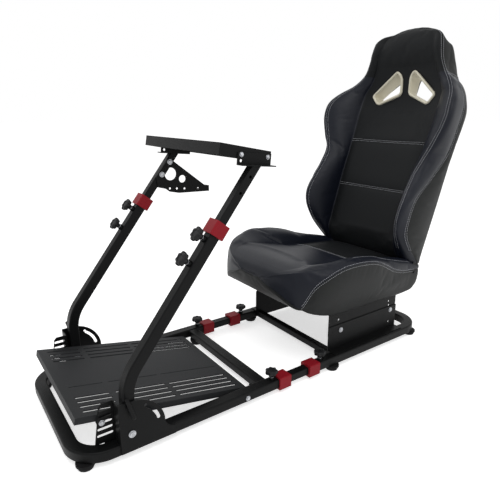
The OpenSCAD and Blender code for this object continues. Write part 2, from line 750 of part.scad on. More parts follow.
// The back's wings and head seen from the side: forward is -Y
back_rear_view = [
  [15, 25], [25, 150], [32, 300], [45, 500], [48, 640], [38, 760], [34, 850], [back_top_y, back_h]
];
back_wing_view = smooth([
  [-10, back_h], [-40, 880], [-48, 800], [-46, 740], [-66, 700], [-96, 658], [0.66 * -back_wing, 600],
  [0.64 * -back_wing, 540], [0.61 * -back_wing, 460], [0.66 * -back_wing, 410], [0.78 * -back_wing, 355],
  [0.9 * -back_wing, 300], [-back_wing, 235], [0.98 * -back_wing, 180], [0.8 * -back_wing, 125], [-100, 88], [-55, 66]
]);
back_hollow_view = smooth([
  [-20, 790], [-6, 774], [12, 700], [16, 640], [0, 560], [-25, 490], [-42, 360], [-52, 250], [-60, 145], [-62, 90], [-55, 66]
]);
headrest_view = smooth([
  [back_top_y, back_h], [-4, back_h - 8], [-26, 920], [-38, 870], [-34, 820], [-20, 780]
]);

module backrest() {
  color([0.2, 0.2, 0.22]) place() in_back() difference() {
    intersection() {
      translate([0, 100, 0]) rotate([90, 0, 0]) linear_extrude(400) polygon(both_sides(concat(
        [[back_side - 29, 25], [back_side - 29, 58], [back_side, 58]], back_front_view
      )));
      across_x(-back_w, back_w) polygon(concat([[-20, 30]], back_rear_view, back_wing_view));
    }
    across_x(-back_hollow_w / 2, back_hollow_w / 2) polygon(concat(
      back_hollow_view, [[-back_wing - 60, 60], [-back_wing - 60, 790]]
    ));
    across_x(-back_w, back_w) polygon(concat(headrest_view, [[-100, 780], [-100, back_h + 10], [back_top_y, back_h + 10]]));
    for (side = [-1, 1]) belt_cut(side, 0);
  }
}

// Outline of a harness opening, its corners rounded by a radius of r
function belt_corners(side, inset) = [
  [side * (17 + inset), 690 + inset * 0.8], [side * (19 + inset), 752 - inset * 0.4],
  [side * (40 + inset * 0.2), 776 - inset * 1.3], [side * (150 - inset * 1.6), 681], [side * (118 - inset * 0.4), 645 + inset * 1.2]
];

module belt_cut(side, inset) {
  translate([0, 100, 0]) rotate([90, 0, 0]) linear_extrude(200) polygon(belt_corners(side, inset));
}

module belt_bezels() {
  color([0.85, 0.82, 0.75]) place() in_back() intersection() {
    for (side = [-1, 1]) difference() {
      belt_cut(side, 0);
      belt_cut(side, 10);
    }
    across_x(-back_w, back_w) polygon([[48, 640], [38, 780], [-10, 780], [10, 700], [14, 640]]);
  }
}

// Recliner plate on each side of the cushion, its pin pointing outward
module recliners() {
  color(dark) place() for (side = [-1, 1]) mirror([side < 0 ? 1 : 0, 0, 0]) {
    across_x(recliner_x, recliner_x + recliner_t) polygon(concat(
      arc(back_hinge_y, back_hinge_z, 24, 0, 180), [[back_hinge_y - 60, cushion_z + 30], [back_hinge_y + 10, cushion_z + 30]]
    ));
    bar_x(recliner_x + recliner_t, back_side + arm_t + 6, back_hinge_y, back_hinge_z, bolt_r);
  }
}

module backrest_arms() {
  color(dark) place() in_back() for (side = [-1, 1]) mirror([side < 0 ? 1 : 0, 0, 0]) difference() {
    across_x(back_side, back_side + arm_t)
      polygon(concat(arc(0, 0, arm_w / 2, 180, 360), [[arm_w / 2, arm_top], [-arm_w / 2, arm_top]]));
    bar_x(back_side - 1, back_side + arm_t + 1, 0, 0, bolt_r + run_gap);
  }
}

front_base_tube();
front_cross_tube();
front_feet();
front_collars();
side_plate(1);  // side_plate_left
side_plate(-1);  // side_plate_right
pivot_bolts();
lock_lever(1);  // lock_lever_left
lock_lever(-1);  // lock_lever_right
pedal_plate();
pedal_bolts();
inner_rail(1);  // inner_rail_left
inner_rail(-1);  // inner_rail_right
rear_base_tube();
rear_cross_tube();
rear_feet();
rear_collars();
seat_bracket(1);  // seat_bracket_left
seat_bracket(-1);  // seat_bracket_right
seat_pan_brackets();
seat_bolts();
seat_cushion();
recliners();
lower_post(1);  // lower_post_left
lower_post(-1);  // lower_post_right
post_collars();
upper_post(1);  // upper_post_left
upper_post(-1);  // upper_post_right
wheel_deck();
deck_bracket(1);  // deck_bracket_left
deck_bracket(-1);  // deck_bracket_right
deck_bolts();
shifter_bracket();
shifter_bolts();
backrest();
belt_bezels();
backrest_arms();
base_knob(1, front_knob_y);  // base_knob_front_left
base_knob(-1, front_knob_y);  // base_knob_front_right
base_knob(1, rear_knob_y);  // base_knob_rear_left
base_knob(-1, rear_knob_y);  // base_knob_rear_right
post_knob(1, post_knob_upper);  // post_knob_upper_left
post_knob(-1, post_knob_upper);  // post_knob_upper_right
post_knob(1, post_knob_lower);  // post_knob_lower_left
post_knob(-1, post_knob_lower);  // post_knob_lower_right
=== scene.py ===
"""Looks of the sim racing cockpit: frame finish, knobs, bolts, padded seat and studio.

Metres. +Z up, the driver faces -Y, the driver's left is +X.
"""

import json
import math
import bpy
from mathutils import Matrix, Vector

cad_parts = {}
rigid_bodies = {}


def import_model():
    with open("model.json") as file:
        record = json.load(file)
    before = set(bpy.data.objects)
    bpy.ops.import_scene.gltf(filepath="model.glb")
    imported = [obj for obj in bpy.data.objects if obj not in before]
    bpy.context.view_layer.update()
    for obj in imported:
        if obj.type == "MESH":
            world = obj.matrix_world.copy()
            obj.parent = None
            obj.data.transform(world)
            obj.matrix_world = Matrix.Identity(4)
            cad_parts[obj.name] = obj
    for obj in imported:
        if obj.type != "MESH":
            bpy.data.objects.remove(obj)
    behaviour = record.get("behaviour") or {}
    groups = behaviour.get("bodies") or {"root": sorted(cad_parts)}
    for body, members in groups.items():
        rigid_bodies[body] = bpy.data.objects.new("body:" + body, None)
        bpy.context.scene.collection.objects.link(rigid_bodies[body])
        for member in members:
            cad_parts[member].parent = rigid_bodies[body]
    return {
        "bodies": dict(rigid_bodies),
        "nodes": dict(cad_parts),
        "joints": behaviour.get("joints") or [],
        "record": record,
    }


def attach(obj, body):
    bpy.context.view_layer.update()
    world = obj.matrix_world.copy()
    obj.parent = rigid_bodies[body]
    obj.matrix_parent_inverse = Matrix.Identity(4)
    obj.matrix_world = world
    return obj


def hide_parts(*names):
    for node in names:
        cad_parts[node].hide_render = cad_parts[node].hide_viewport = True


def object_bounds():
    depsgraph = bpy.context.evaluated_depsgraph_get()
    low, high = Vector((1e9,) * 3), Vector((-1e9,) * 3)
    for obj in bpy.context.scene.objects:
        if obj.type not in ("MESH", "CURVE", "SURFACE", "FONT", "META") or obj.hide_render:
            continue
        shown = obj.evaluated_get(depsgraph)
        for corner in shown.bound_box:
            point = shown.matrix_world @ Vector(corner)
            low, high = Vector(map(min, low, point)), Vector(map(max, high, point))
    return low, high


bl_info = {
    "name": "Sim racing cockpit",
    "version": (1, 0, 0),
    "blender": (4, 5, 0),
    "location": "View3D > Sidebar > Cockpit",
    "description": "Finishes the cockpit's frame and makes its seat, knobs, bolts and studio",
    "category": "Object",
}

import bmesh
import bpy
from bpy.props import FloatProperty, FloatVectorProperty, IntProperty, PointerProperty
from bpy.types import Operator, Panel, PropertyGroup
from mathutils import Matrix, Vector
from mathutils.bvhtree import BVHTree
from mathutils.kdtree import KDTree

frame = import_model()
CAD_LOW, CAD_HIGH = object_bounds()
FRONT = CAD_LOW.y
RECLINE = next(j for j in frame["joints"] if j["name"] == "back_recline")
HINGE = Vector(RECLINE["pos_m"])
BACK_TILT = math.radians(13)
X_AXIS, Z_AXIS = Vector((1, 0, 0)), Vector((0, 0, 1))
CUSHION_LIFT = 0.004
SEAM_SINK = 0.0022
SEAM_REACH = 0.0015
STITCH_WIDTH, STITCH_HEIGHT = 0.0015, 0.0012
PICTURE = 500
FLOOR_SIZE, FLOOR_DROP = 40, 0.0005


def on_base(x, y, z):
    """A point given from the front of the base and the floor."""
    return Vector((x, FRONT + y, z))


def on_back(x, y, z):
    """A point given in the back's own frame: its origin on the recliner axis, z up the back."""
    c, s = math.cos(BACK_TILT), math.sin(BACK_TILT)
    return Vector((x, HINGE.y + y * c + z * s, HINGE.z - y * s + z * c))


def track(rows):
    """A smooth curve through rows of (place, value, ...), as a function of the place."""
    places = [r[0] for r in rows]

    def slope(i, k):
        a, b = max(i - 1, 0), min(i + 1, len(rows) - 1)
        return (rows[b][k] - rows[a][k]) / (rows[b][0] - rows[a][0])

    def at(p):
        p = min(max(p, places[0]), places[-1])
        i = max(j for j in range(len(rows) - 1) if places[j] <= p)
        step = places[i + 1] - places[i]
        t = (p - places[i]) / step
        out = []
        for k in range(1, len(rows[0])):
            a, b = rows[i][k], rows[i + 1][k]
            m, n = slope(i, k) * step, slope(i + 1, k) * step
            out.append((2 * t**3 - 3 * t**2 + 1) * a + (t**3 - 2 * t**2 + t) * m
                       + (3 * t**2 - 2 * t**3) * b + (t**3 - t**2) * n)
        return out

    return at


class FrameFinish(PropertyGroup):
    """Colours of the metal and plastic."""

    coat: FloatVectorProperty(
        name="Powder coat", description="Colour of the coated steel", subtype="COLOR",
        size=3, default=(0.0040, 0.0042, 0.0044))
    pedal_coat: FloatVectorProperty(
        name="Pedal plate coat", description="Colour of the pedal plate", subtype="COLOR",
        size=3, default=(0.019, 0.020, 0.0215))
    collar: FloatVectorProperty(
        name="Collar red", description="Colour of the moulded end collars", subtype="COLOR",
        size=3, default=(0.245, 0.007, 0.014))
    knob_lobes: IntProperty(
        name="Knob lobes", description="Lobes round each star knob", default=7, min=5, max=9)


class SeatFinish(PropertyGroup):
    """Colours and sewing of the seat."""

    leather: FloatVectorProperty(
        name="Leatherette", description="Colour of the padded cover", subtype="COLOR",
        size=3, default=(0.0040, 0.0055, 0.0110))
    side: FloatVectorProperty(
        name="Side cover", description="Colour of the seat's side panels", subtype="COLOR",
        size=3, default=(0.0060, 0.0068, 0.0066))
    centre: FloatVectorProperty(
        name="Centre cloth", description="Colour of the centre panels and the headrest",
        subtype="COLOR", size=3, default=(0.0050, 0.0058, 0.0066))
    thread: FloatVectorProperty(
        name="Thread", description="Colour of the stitching", subtype="COLOR",
        size=3, default=(0.48, 0.49, 0.52))
    bezel: FloatVectorProperty(
        name="Bezel", description="Colour of the harness bezels", subtype="COLOR",
        size=3, default=(0.70, 0.66, 0.53))
    stitch: FloatProperty(
        name="Stitch", description="Length of one stitch", default=0.0048, unit="LENGTH")
    stitch_pitch: FloatProperty(
        name="Stitch pitch", description="From one stitch to the next", default=0.0066, unit="LENGTH")
    twin_gap: FloatProperty(
        name="Twin gap", description="Between the two rows beside a seam", default=0.011, unit="LENGTH")


class StudioSettings(PropertyGroup):
    """Camera and light."""

    azimuth: FloatProperty(
        name="Azimuth", description="Turn of the camera from +Y",
        default=math.radians(54.4), unit="ROTATION")
    pitch: FloatProperty(
        name="Pitch", description="How far the camera looks down",
        default=math.radians(16.6), unit="ROTATION")
    camera: FloatVectorProperty(
        name="Camera", description="Place of the camera, from the front of the base", subtype="XYZ",
        size=3, default=(1.2529, -0.1876, 0.8659))
    floor_glow: FloatProperty(
        name="Floor glow", description="Light that lifts the floor to white where the camera sees it",
        default=0.62, min=0, max=1)
    focal_px: FloatProperty(
        name="Focal length", description="Focal length in pixels of a 500 pixel picture", default=461.8)


def shader_group(name, sockets_in, sockets_out):
    """An empty shader node group with its inputs and outputs, and its two end nodes."""
    group = bpy.data.node_groups.new(name, "ShaderNodeTree")
    for label, kind, value in sockets_in:
        socket = group.interface.new_socket(label, in_out="INPUT", socket_type=kind)
        if value is not None:
            socket.default_value = value
    for label, kind in sockets_out:
        group.interface.new_socket(label, in_out="OUTPUT", socket_type=kind)
    return group, group.nodes.new("NodeGroupInput"), group.nodes.new("NodeGroupOutput")


def add_math(tree, kind, a, b, clamp=False):
    """A Math node; a and b are sockets or numbers."""
    node = tree.nodes.new("ShaderNodeMath")
    node.operation = kind
    node.use_clamp = clamp
    for i, value in enumerate((a, b)):
        if isinstance(value, bpy.types.NodeSocket):
            tree.links.new(value, node.inputs[i])
        else:
            node.inputs[i].default_value = value
    return node.outputs[0]


def add_noise(tree, vector, scale, detail=3.0, roughness=0.55):
    """A Noise node; scale is a socket or a number."""
    node = tree.nodes.new("ShaderNodeTexNoise")
    tree.links.new(vector, node.inputs["Vector"])
    node.inputs["Detail"].default_value = detail
    node.inputs["Roughness"].default_value = roughness
    if isinstance(scale, bpy.types.NodeSocket):
        tree.links.new(scale, node.inputs["Scale"])
    else:
        node.inputs["Scale"].default_value = scale
    return node.outputs["Fac"]


def surface_grain_group():
    """Fine grain, slow patches of tone and a roughness that varies, for coats and mouldings."""
    group, start, end = shader_group(
        "Surface grain",
        [("Vector", "NodeSocketVector", None), ("Grain Scale", "NodeSocketFloat", 900.0),
         ("Colour", "NodeSocketColor", (0.02, 0.02, 0.02, 1)), ("Tone", "NodeSocketFloat", 0.2),
         ("Roughness", "NodeSocketFloat", 0.45), ("Roughness Change", "NodeSocketFloat", 0.1)],
        [("Colour", "NodeSocketColor"), ("Roughness", "NodeSocketFloat"), ("Height", "NodeSocketFloat")])
    vector = start.outputs["Vector"]
    grain = add_noise(group, vector, start.outputs["Grain Scale"], 2.0)
    patch = add_noise(group, vector, 9.0, 4.0)
    shift = add_math(group, "SUBTRACT", patch, 0.5)
    tone = add_math(group, "MULTIPLY_ADD", shift, start.outputs["Tone"])
    tone.node.inputs[2].default_value = 1.0
    mix = group.nodes.new("ShaderNodeVectorMath")
    mix.operation = "SCALE"
    group.links.new(start.outputs["Colour"], mix.inputs[0])
    group.links.new(tone, mix.inputs["Scale"])
    change = add_math(group, "MULTIPLY", shift, start.outputs["Roughness Change"])
    rough = add_math(group, "ADD", start.outputs["Roughness"], change, clamp=True)
    group.links.new(mix.outputs[0], end.inputs["Colour"])
    group.links.new(rough, end.inputs["Roughness"])
    group.links.new(grain, end.inputs["Height"])
    return group


def hide_grain_group():
    """Pebbled grain and soft pulls of a sewn leatherette cover."""
    group, start, end = shader_group(
        "Hide grain",
        [("Vector", "NodeSocketVector", None), ("Pebble Scale", "NodeSocketFloat", 650.0),
         ("Colour", "NodeSocketColor", (0.02, 0.02, 0.02, 1)), ("Tone", "NodeSocketFloat", 0.3),
         ("Roughness", "NodeSocketFloat", 0.45), ("Pull", "NodeSocketFloat", 0.4)],
        [("Colour", "NodeSocketColor"), ("Roughness", "NodeSocketFloat"), ("Height", "NodeSocketFloat")])
    vector = start.outputs["Vector"]
    pebble = group.nodes.new("ShaderNodeTexVoronoi")
    pebble.feature = "DISTANCE_TO_EDGE"
    group.links.new(vector, pebble.inputs["Vector"])
    group.links.new(start.outputs["Pebble Scale"], pebble.inputs["Scale"])
    cell = add_math(group, "MULTIPLY", pebble.outputs["Distance"], 1.6, clamp=True)
    pull = add_noise(group, vector, 22.0, 3.0, 0.5)
    soft = add_math(group, "MULTIPLY", pull, start.outputs["Pull"])
    height = add_math(group, "MULTIPLY_ADD", cell, 0.05)
    group.links.new(soft, height.node.inputs[2])
    patch = add_math(group, "SUBTRACT", add_noise(group, vector, 6.0, 3.0), 0.5)
    tone = add_math(group, "MULTIPLY_ADD", patch, start.outputs["Tone"])
    tone.node.inputs[2].default_value = 1.0
    mix = group.nodes.new("ShaderNodeVectorMath")
    mix.operation = "SCALE"
    group.links.new(start.outputs["Colour"], mix.inputs[0])
    group.links.new(tone, mix.inputs["Scale"])
    dip = add_math(group, "MULTIPLY", cell, -0.08)
    rough = add_math(group, "ADD", start.outputs["Roughness"], dip, clamp=True)
    group.links.new(mix.outputs[0], end.inputs["Colour"])
    group.links.new(rough, end.inputs["Roughness"])
    group.links.new(height, end.inputs["Height"])
    return group


GROUPS, FINISHES = {}, {}


def grouped(name):
    """The shared node group of that name, built once."""
    if name not in GROUPS:
        GROUPS[name] = {"surface": surface_grain_group, "hide": hide_grain_group}[name]()
    return GROUPS[name]


def finish(name, group, colour, roughness, specular, bump, distance, metallic=0.0, coat=0.0, **inputs):
    """A material whose colour, roughness and bump come from one of the shared groups."""
    if name in FINISHES:
        return FINISHES[name]
    material = FINISHES[name] = bpy.data.materials.new(name)
    material.use_nodes = True
    tree = material.node_tree
    shader = tree.nodes["Principled BSDF"]
    place = tree.nodes.new("ShaderNodeTexCoord")
    node = tree.nodes.new("ShaderNodeGroup")
    node.node_tree = grouped(group)
    tree.links.new(place.outputs["Object"], node.inputs["Vector"])
    node.inputs["Colour"].default_value = (*colour, 1)
    node.inputs["Roughness"].default_value = roughness
    for label, value in inputs.items():
        node.inputs[label.replace("_", " ")].default_value = value
    relief = tree.nodes.new("ShaderNodeBump")
    relief.inputs["Strength"].default_value = bump
    relief.inputs["Distance"].default_value = distance
    tree.links.new(node.outputs["Height"], relief.inputs["Height"])
    tree.links.new(node.outputs["Colour"], shader.inputs["Base Color"])
    tree.links.new(node.outputs["Roughness"], shader.inputs["Roughness"])
    tree.links.new(relief.outputs["Normal"], shader.inputs["Normal"])
    shader.inputs["Metallic"].default_value = metallic
    shader.inputs["Specular IOR Level"].default_value = specular
    shader.inputs["Coat Weight"].default_value = coat
    return material


def frame_settings():
    return bpy.context.scene.cockpit_frame


def seat_settings():
    return bpy.context.scene.cockpit_seat


def powder_coat():
    return finish("powder coat finish", "surface", frame_settings().coat, 0.42, 0.11, 0.35, 0.0006,
                  Grain_Scale=1100.0, Tone=0.35, Roughness_Change=0.16)


def pedal_coat():
    return finish("pedal coat finish", "surface", frame_settings().pedal_coat, 0.55, 0.14, 0.35, 0.0006,
                  Grain_Scale=1000.0, Tone=0.25, Roughness_Change=0.1)


def zinc():
    return finish("zinc finish", "surface", (0.45, 0.46, 0.48), 0.32, 0.5, 0.12, 0.0003, metallic=1.0,
                  Grain_Scale=1500.0, Tone=0.3, Roughness_Change=0.2)


def red_moulding():
    return finish("red collar finish", "surface", frame_settings().collar, 0.45, 0.16, 0.2, 0.0004,
                  Grain_Scale=800.0, Tone=0.3, Roughness_Change=0.12)


def foot_rubber():
    return finish("foot rubber finish", "surface", (0.007, 0.007, 0.0075), 0.75, 0.15, 0.4, 0.0008,
                  Grain_Scale=700.0, Tone=0.3, Roughness_Change=0.1)


def knob_moulding():
    return finish("knob plastic finish", "surface", (0.008, 0.0082, 0.009), 0.5, 0.2, 0.3, 0.0005,
                  Grain_Scale=900.0, Tone=0.3, Roughness_Change=0.12)


def cream_moulding():
    return finish("cream trim finish", "surface", seat_settings().bezel, 0.38, 0.4, 0.12, 0.0004,
                  Grain_Scale=500.0, Tone=0.12, Roughness_Change=0.08)


def leatherette():
    return finish("seat leather finish", "hide", seat_settings().leather, 0.46, 0.22, 0.35, 0.004,
                  Pebble_Scale=620.0, Tone=0.35, Pull=0.35)


def side_leatherette():
    return finish("seat_side", "hide", seat_settings().side, 0.56, 0.2, 0.3, 0.003,
                  Pebble_Scale=620.0, Tone=0.25, Pull=0.25)


def centre_cloth():
    return finish("seat_centre", "hide", seat_settings().centre, 0.62, 0.16, 0.3, 0.003,
                  Pebble_Scale=700.0, Tone=0.3, Pull=0.3)


def thread():
    return finish("thread", "surface", seat_settings().thread, 0.7, 0.2, 0.5, 0.0004,
                  Grain_Scale=2500.0, Tone=0.5, Roughness_Change=0.1)


SLOT_FINISH = {
    "powder_coat": powder_coat, "pedal_coat": pedal_coat, "zinc": zinc, "red_collar": red_moulding,
    "foot_rubber": foot_rubber, "knob_plastic": knob_moulding, "cream_trim": cream_moulding,
    "seat_leather": leatherette,
}


def mesh_object(name, bm, materials, smooth=True):
    """A new object that holds the bmesh, at the origin."""
    mesh = bpy.data.meshes.new(name)
    bm.to_mesh(mesh)
    bm.free()
    for material in materials:
        mesh.materials.append(material)
    if smooth:
        mesh.shade_smooth()
    thing = bpy.data.objects.new(name, mesh)
    bpy.context.scene.collection.objects.link(thing)
    return thing


def with_modifiers_applied(thing):
    """Turns the object's live modifiers into its mesh."""
    bpy.context.view_layer.update()
    depsgraph = bpy.context.evaluated_depsgraph_get()
    mesh = bpy.data.meshes.new_from_object(thing.evaluated_get(depsgraph))
    thing.modifiers.clear()
    thing.data = mesh
    return thing


def sharpen(thing, angle=35):
    """Smooth faces with sharp edges where the form turns quickly."""
    thing.data.set_sharp_from_angle(angle=math.radians(angle))
    return thing


def node_islands(node):
    """Lowest and highest corner of each separate solid in a CAD node."""
    bm = bmesh.new()
    bm.from_mesh(frame["nodes"][node].data)
    bmesh.ops.remove_doubles(bm, verts=bm.verts, dist=1e-6)
    left, boxes = set(bm.verts), []
    while left:
        todo, seen = [left.pop()], []
        while todo:
            vert = todo.pop()
            seen.append(vert.co.copy())
            for edge in vert.link_edges:
                other = edge.other_vert(vert)
                if other in left:
                    left.remove(other)
                    todo.append(other)
        boxes.append((Vector(map(min, zip(*seen))), Vector(map(max, zip(*seen)))))
    bm.free()
    return boxes


def ring_stack(bm, rings, segments, lobes=0, depth=0.0):
    """A turned form about Z: rings are (radius, height) from bottom to top, with lobes where asked."""
    loops = []
    for radius, height in rings:
        made = bmesh.ops.create_circle(bm, cap_ends=False, segments=segments, radius=radius)["verts"]
        for vert in made:
            turn = math.atan2(vert.co.y, vert.co.x)
            swell = 1 + depth * math.cos(lobes * turn) if lobes else 1
            vert.co = Vector((vert.co.x * swell, vert.co.y * swell, height))
        loops.append(made)
    rims = [{e for v in loop for e in v.link_edges} for loop in loops]
    for low, high in zip(rims, rims[1:]):
        bmesh.ops.bridge_loops(bm, edges=list(low | high))
    for loop in (loops[0], loops[-1]):
        bmesh.ops.contextual_create(bm, geom=loop)
    return [v for loop in loops for v in loop]


def stand_on(bm, verts, place, axis):
    """Turns what stands on Z so that it stands on the axis, at the place."""
    turn = Z_AXIS.rotation_difference(Vector(axis)).to_matrix().to_4x4()
    bmesh.ops.transform(bm, matrix=Matrix.Translation(place) @ turn, verts=verts)


def joint_of(body):
    return next(j for j in frame["joints"] if j["child"] == body)


class COCKPIT_OT_frame_finish(Operator):
    """Gives every CAD node the finish of its material slot"""

    bl_idname = "cockpit.frame_finish"
    bl_label = "Finish the frame"

    def execute(self, context):
        for part in frame["record"]["subparts"]:
            node = frame["nodes"][part["node"]]
            node.data.materials.clear()
            node.data.materials.append(SLOT_FINISH[part["material_slot"]]())
        return {"FINISHED"}


# Turned profiles of a knob and its screw: (radius, height) above the joint's place
KNOB_HEAD = (
    (0.0125, 0.0195), (0.0165, 0.0205), (0.0188, 0.0235), (0.0192, 0.0300), (0.0180, 0.0335),
    (0.0150, 0.0350), (0.0105, 0.0352), (0.0095, 0.0335))
KNOB_HUB = ((0.0072, 0.0115), (0.0080, 0.0125), (0.0092, 0.0205))
KNOB_SCREW = ((0.0038, -0.0025), (0.0040, 0.0), (0.0040, 0.0120), (0.0036, 0.0125))
KNOB_WASHER = ((0.0070, 0.0082), (0.0075, 0.0086), (0.0075, 0.0094), (0.0070, 0.0098))
LOBE_DEPTH = 0.10


class COCKPIT_OT_star_knobs(Operator):
    """Makes the eight lobed clamp knobs and their zinc screws"""

    bl_idname = "cockpit.star_knobs"
    bl_label = "Make the star knobs"

    def execute(self, context):
        lobes = frame_settings().knob_lobes
        for body in [b for b in frame["bodies"] if "_knob_" in b]:
            joint = joint_of(body)
            place, axis = Vector(joint["pos_m"]), Vector(joint["axis"])
            bm = bmesh.new()
            head = ring_stack(bm, KNOB_HEAD, lobes * 12, lobes, LOBE_DEPTH)
            stand_on(bm, head, place, axis)
            hub = ring_stack(bm, KNOB_HUB, 32)
            stand_on(bm, hub, place, axis)
            bmesh.ops.recalc_face_normals(bm, faces=bm.faces)
            knob = sharpen(mesh_object(body + ".head", bm, [knob_moulding()]), 50)
            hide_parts(body)
            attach(knob, body)
            bm = bmesh.new()
            screw = ring_stack(bm, KNOB_SCREW, 20)
            stand_on(bm, screw, place, axis)
            washer = ring_stack(bm, KNOB_WASHER, 32)
            stand_on(bm, washer, place, axis)
            bmesh.ops.recalc_face_normals(bm, faces=bm.faces)
            stud = sharpen(mesh_object(body + ".screw", bm, [zinc()]))
            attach(stud, body)
        return {"FINISHED"}


# Height of a bolt's head; a washer as (share of the radius, height)
HEAD = 0.005
WASHER = ((0.98, 0.0), (1.0, 0.0004), (1.0, 0.0012), (0.96, 0.0016))


def bolt_head(bm, place, axis, radius, height):
    """A washer and a domed hex-socket head that stands on a face at the place."""
    made = ring_stack(bm, [(radius * r, h) for r, h in WASHER], 36)
    dome = ring_stack(bm, [
        (radius * 0.78, 0.0014), (radius * 0.78, height * 0.45), (radius * 0.72, height * 0.8),
        (radius * 0.54, height), (radius * 0.36, height)], 36)
    socket = ring_stack(bm, [(radius * 0.30, height * 0.35), (radius * 0.30, height * 1.002)], 6)
    stand_on(bm, made + dome + socket, place, axis)


def hex_nut(bm, place, axis, radius, height):
    """A washer and a chamfered hex nut."""
    made = ring_stack(bm, [(radius * r, h) for r, h in WASHER], 36)
    nut = ring_stack(bm, [
        (radius * 0.80, 0.0014), (radius * 0.88, 0.0022), (radius * 0.88, height - 0.001),
        (radius * 0.80, height)], 6)
    stand_on(bm, made + nut, place, axis)


BOLT_NODES = {"pivot_bolts": "front_frame", "pedal_bolts": "front_frame", "seat_bolts": "rear_frame",
              "deck_bolts": "upper_mast", "shifter_bolts": "upper_mast"}


class COCKPIT_OT_bolts(Operator):
    """Makes the zinc bolts, washers and nuts where the CAD bolts are"""

    bl_idname = "cockpit.bolts"
    bl_label = "Make the bolts"

    def execute(self, context):
        for node, body in BOLT_NODES.items():
            bm = bmesh.new()
            for low, high in node_islands(node):
                middle, radius = (low + high) / 2, (high.z - low.z) / 2
                side = 1 if middle.x > 0 or node == "shifter_bolts" else -1
                inner, outer = sorted((low.x, high.x), key=lambda x: x * side)
                length = abs(outer - inner)
                place = Vector((outer - side * HEAD, middle.y, middle.z))
                bolt_head(bm, place, X_AXIS * side, radius, HEAD)
                shank = ring_stack(bm, [(radius * 0.5, 0.0), (radius * 0.5, length - 1.6 * HEAD)], 24)
                root = Vector((inner + side * HEAD * 0.8, middle.y, middle.z))
                stand_on(bm, shank, root, X_AXIS * side)
                end = Vector((inner + side * HEAD, middle.y, middle.z))
                hex_nut(bm, end, -X_AXIS * side, radius, HEAD)
            bmesh.ops.recalc_face_normals(bm, faces=bm.faces)
            piece = sharpen(mesh_object(node + ".detailed", bm, [zinc()]), 30)
            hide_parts(node)
            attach(piece, body)
        return {"FINISHED"}


# Curves of the back: height, then how far out and how far back, in its own frame
RIDGE = track([
    (0.030, 0.200, -0.036), (0.060, 0.208, -0.074), (0.090, 0.215, -0.113), (0.132, 0.224, -0.156),
    (0.181, 0.234, -0.186), (0.237, 0.241, -0.192), (0.302, 0.238, -0.174), (0.369, 0.235, -0.146),
    (0.426, 0.242, -0.122), (0.490, 0.265, -0.120), (0.563, 0.288, -0.124), (0.625, 0.286, -0.118),
    (0.675, 0.262, -0.087), (0.719, 0.223, -0.050), (0.760, 0.193, -0.041), (0.800, 0.174, -0.048),
    (0.850, 0.163, -0.056), (0.895, 0.153, -0.056), (0.925, 0.139, -0.047), (0.946, 0.116, -0.028)])
BAND = track([
    (0.030, 0.236, 0.012), (0.060, 0.242, -0.030), (0.090, 0.247, -0.078), (0.140, 0.251, -0.128),
    (0.200, 0.256, -0.142), (0.273, 0.259, -0.132), (0.362, 0.260, -0.070), (0.460, 0.262, -0.012),
    (0.550, 0.281, -0.020), (0.640, 0.283, -0.018), (0.690, 0.264, -0.018), (0.720, 0.241, -0.010),
    (0.745, 0.206, -0.014), (0.760, 0.193, -0.018), (0.790, 0.181, -0.014), (0.850, 0.170, -0.010),
    (0.895, 0.155, -0.014), (0.925, 0.140, -0.020), (0.946, 0.118, -0.026)])
BACK_EDGE = track([
    (0.030, 0.230, 0.026), (0.271, 0.246, 0.028), (0.464, 0.254, 0.034), (0.609, 0.270, 0.032),
    (0.669, 0.256, 0.032), (0.700, 0.236, 0.040), (0.730, 0.208, 0.048), (0.760, 0.188, 0.052),
    (0.790, 0.176, 0.050), (0.820, 0.168, 0.040), (0.850, 0.160, 0.028), (0.895, 0.142, 0.010),
    (0.925, 0.128, -0.008), (0.946, 0.114, -0.024)])
CREASE = track([
    (0.030, 0.178, -0.036), (0.090, 0.183, -0.078), (0.145, 0.185, -0.074), (0.250, 0.185, -0.066),
    (0.355, 0.185, -0.058), (0.494, 0.185, -0.041), (0.608, 0.187, -0.031), (0.683, 0.186, -0.020),
    (0.730, 0.164, -0.018), (0.780, 0.142, -0.030), (0.840, 0.126, -0.052), (0.895, 0.112, -0.050),
    (0.925, 0.098, -0.044), (0.946, 0.080, -0.028)])
PANEL = track([
    (0.030, -0.026), (0.090, -0.062), (0.145, -0.060), (0.250, -0.052), (0.355, -0.042), (0.490, -0.025),
    (0.560, 0.0), (0.640, 0.016), (0.700, 0.012), (0.774, -0.010), (0.840, -0.046), (0.890, -0.050),
    (0.925, -0.044), (0.946, -0.028)])
SHELL = track([
    (0.030, 0.020), (0.150, 0.028), (0.300, 0.036), (0.500, 0.046), (0.640, 0.050), (0.760, 0.060),
    (0.850, 0.042), (0.895, 0.026), (0.925, 0.004), (0.946, -0.020)])
BACK_LOW, BACK_TOP, NECK, WAIST = 0.030, 0.939, 0.752, 0.452
BACK_ROWS = (0.295, 0.488)
BACK_FACES = (12, 14, 12, 12, 24)
ROLL = (
    (0.00, -0.0010, 0.0020), (0.00, 0.0040, -0.0020), (0.00, 0.0100, -0.0034), (0.01, 0.0155, -0.0020),
    (0.03, 0.0190, 0.0), (0.10, 0.0205, 0.0), (0.22, 0.0195, 0.0), (0.37, 0.0165, 0.0), (0.53, 0.0130, 0.0),
    (0.70, 0.0090, 0.0), (0.85, 0.0050, 0.0), (0.96, 0.0018, 0.0))
CROWN_DROP, CROWN_WIDTH = 0.014, 0.116


def smooth_step(low, high, value):
    t = min(1.0, max(0.0, (value - low) / (high - low)))
    return t * t * (3 - 2 * t)


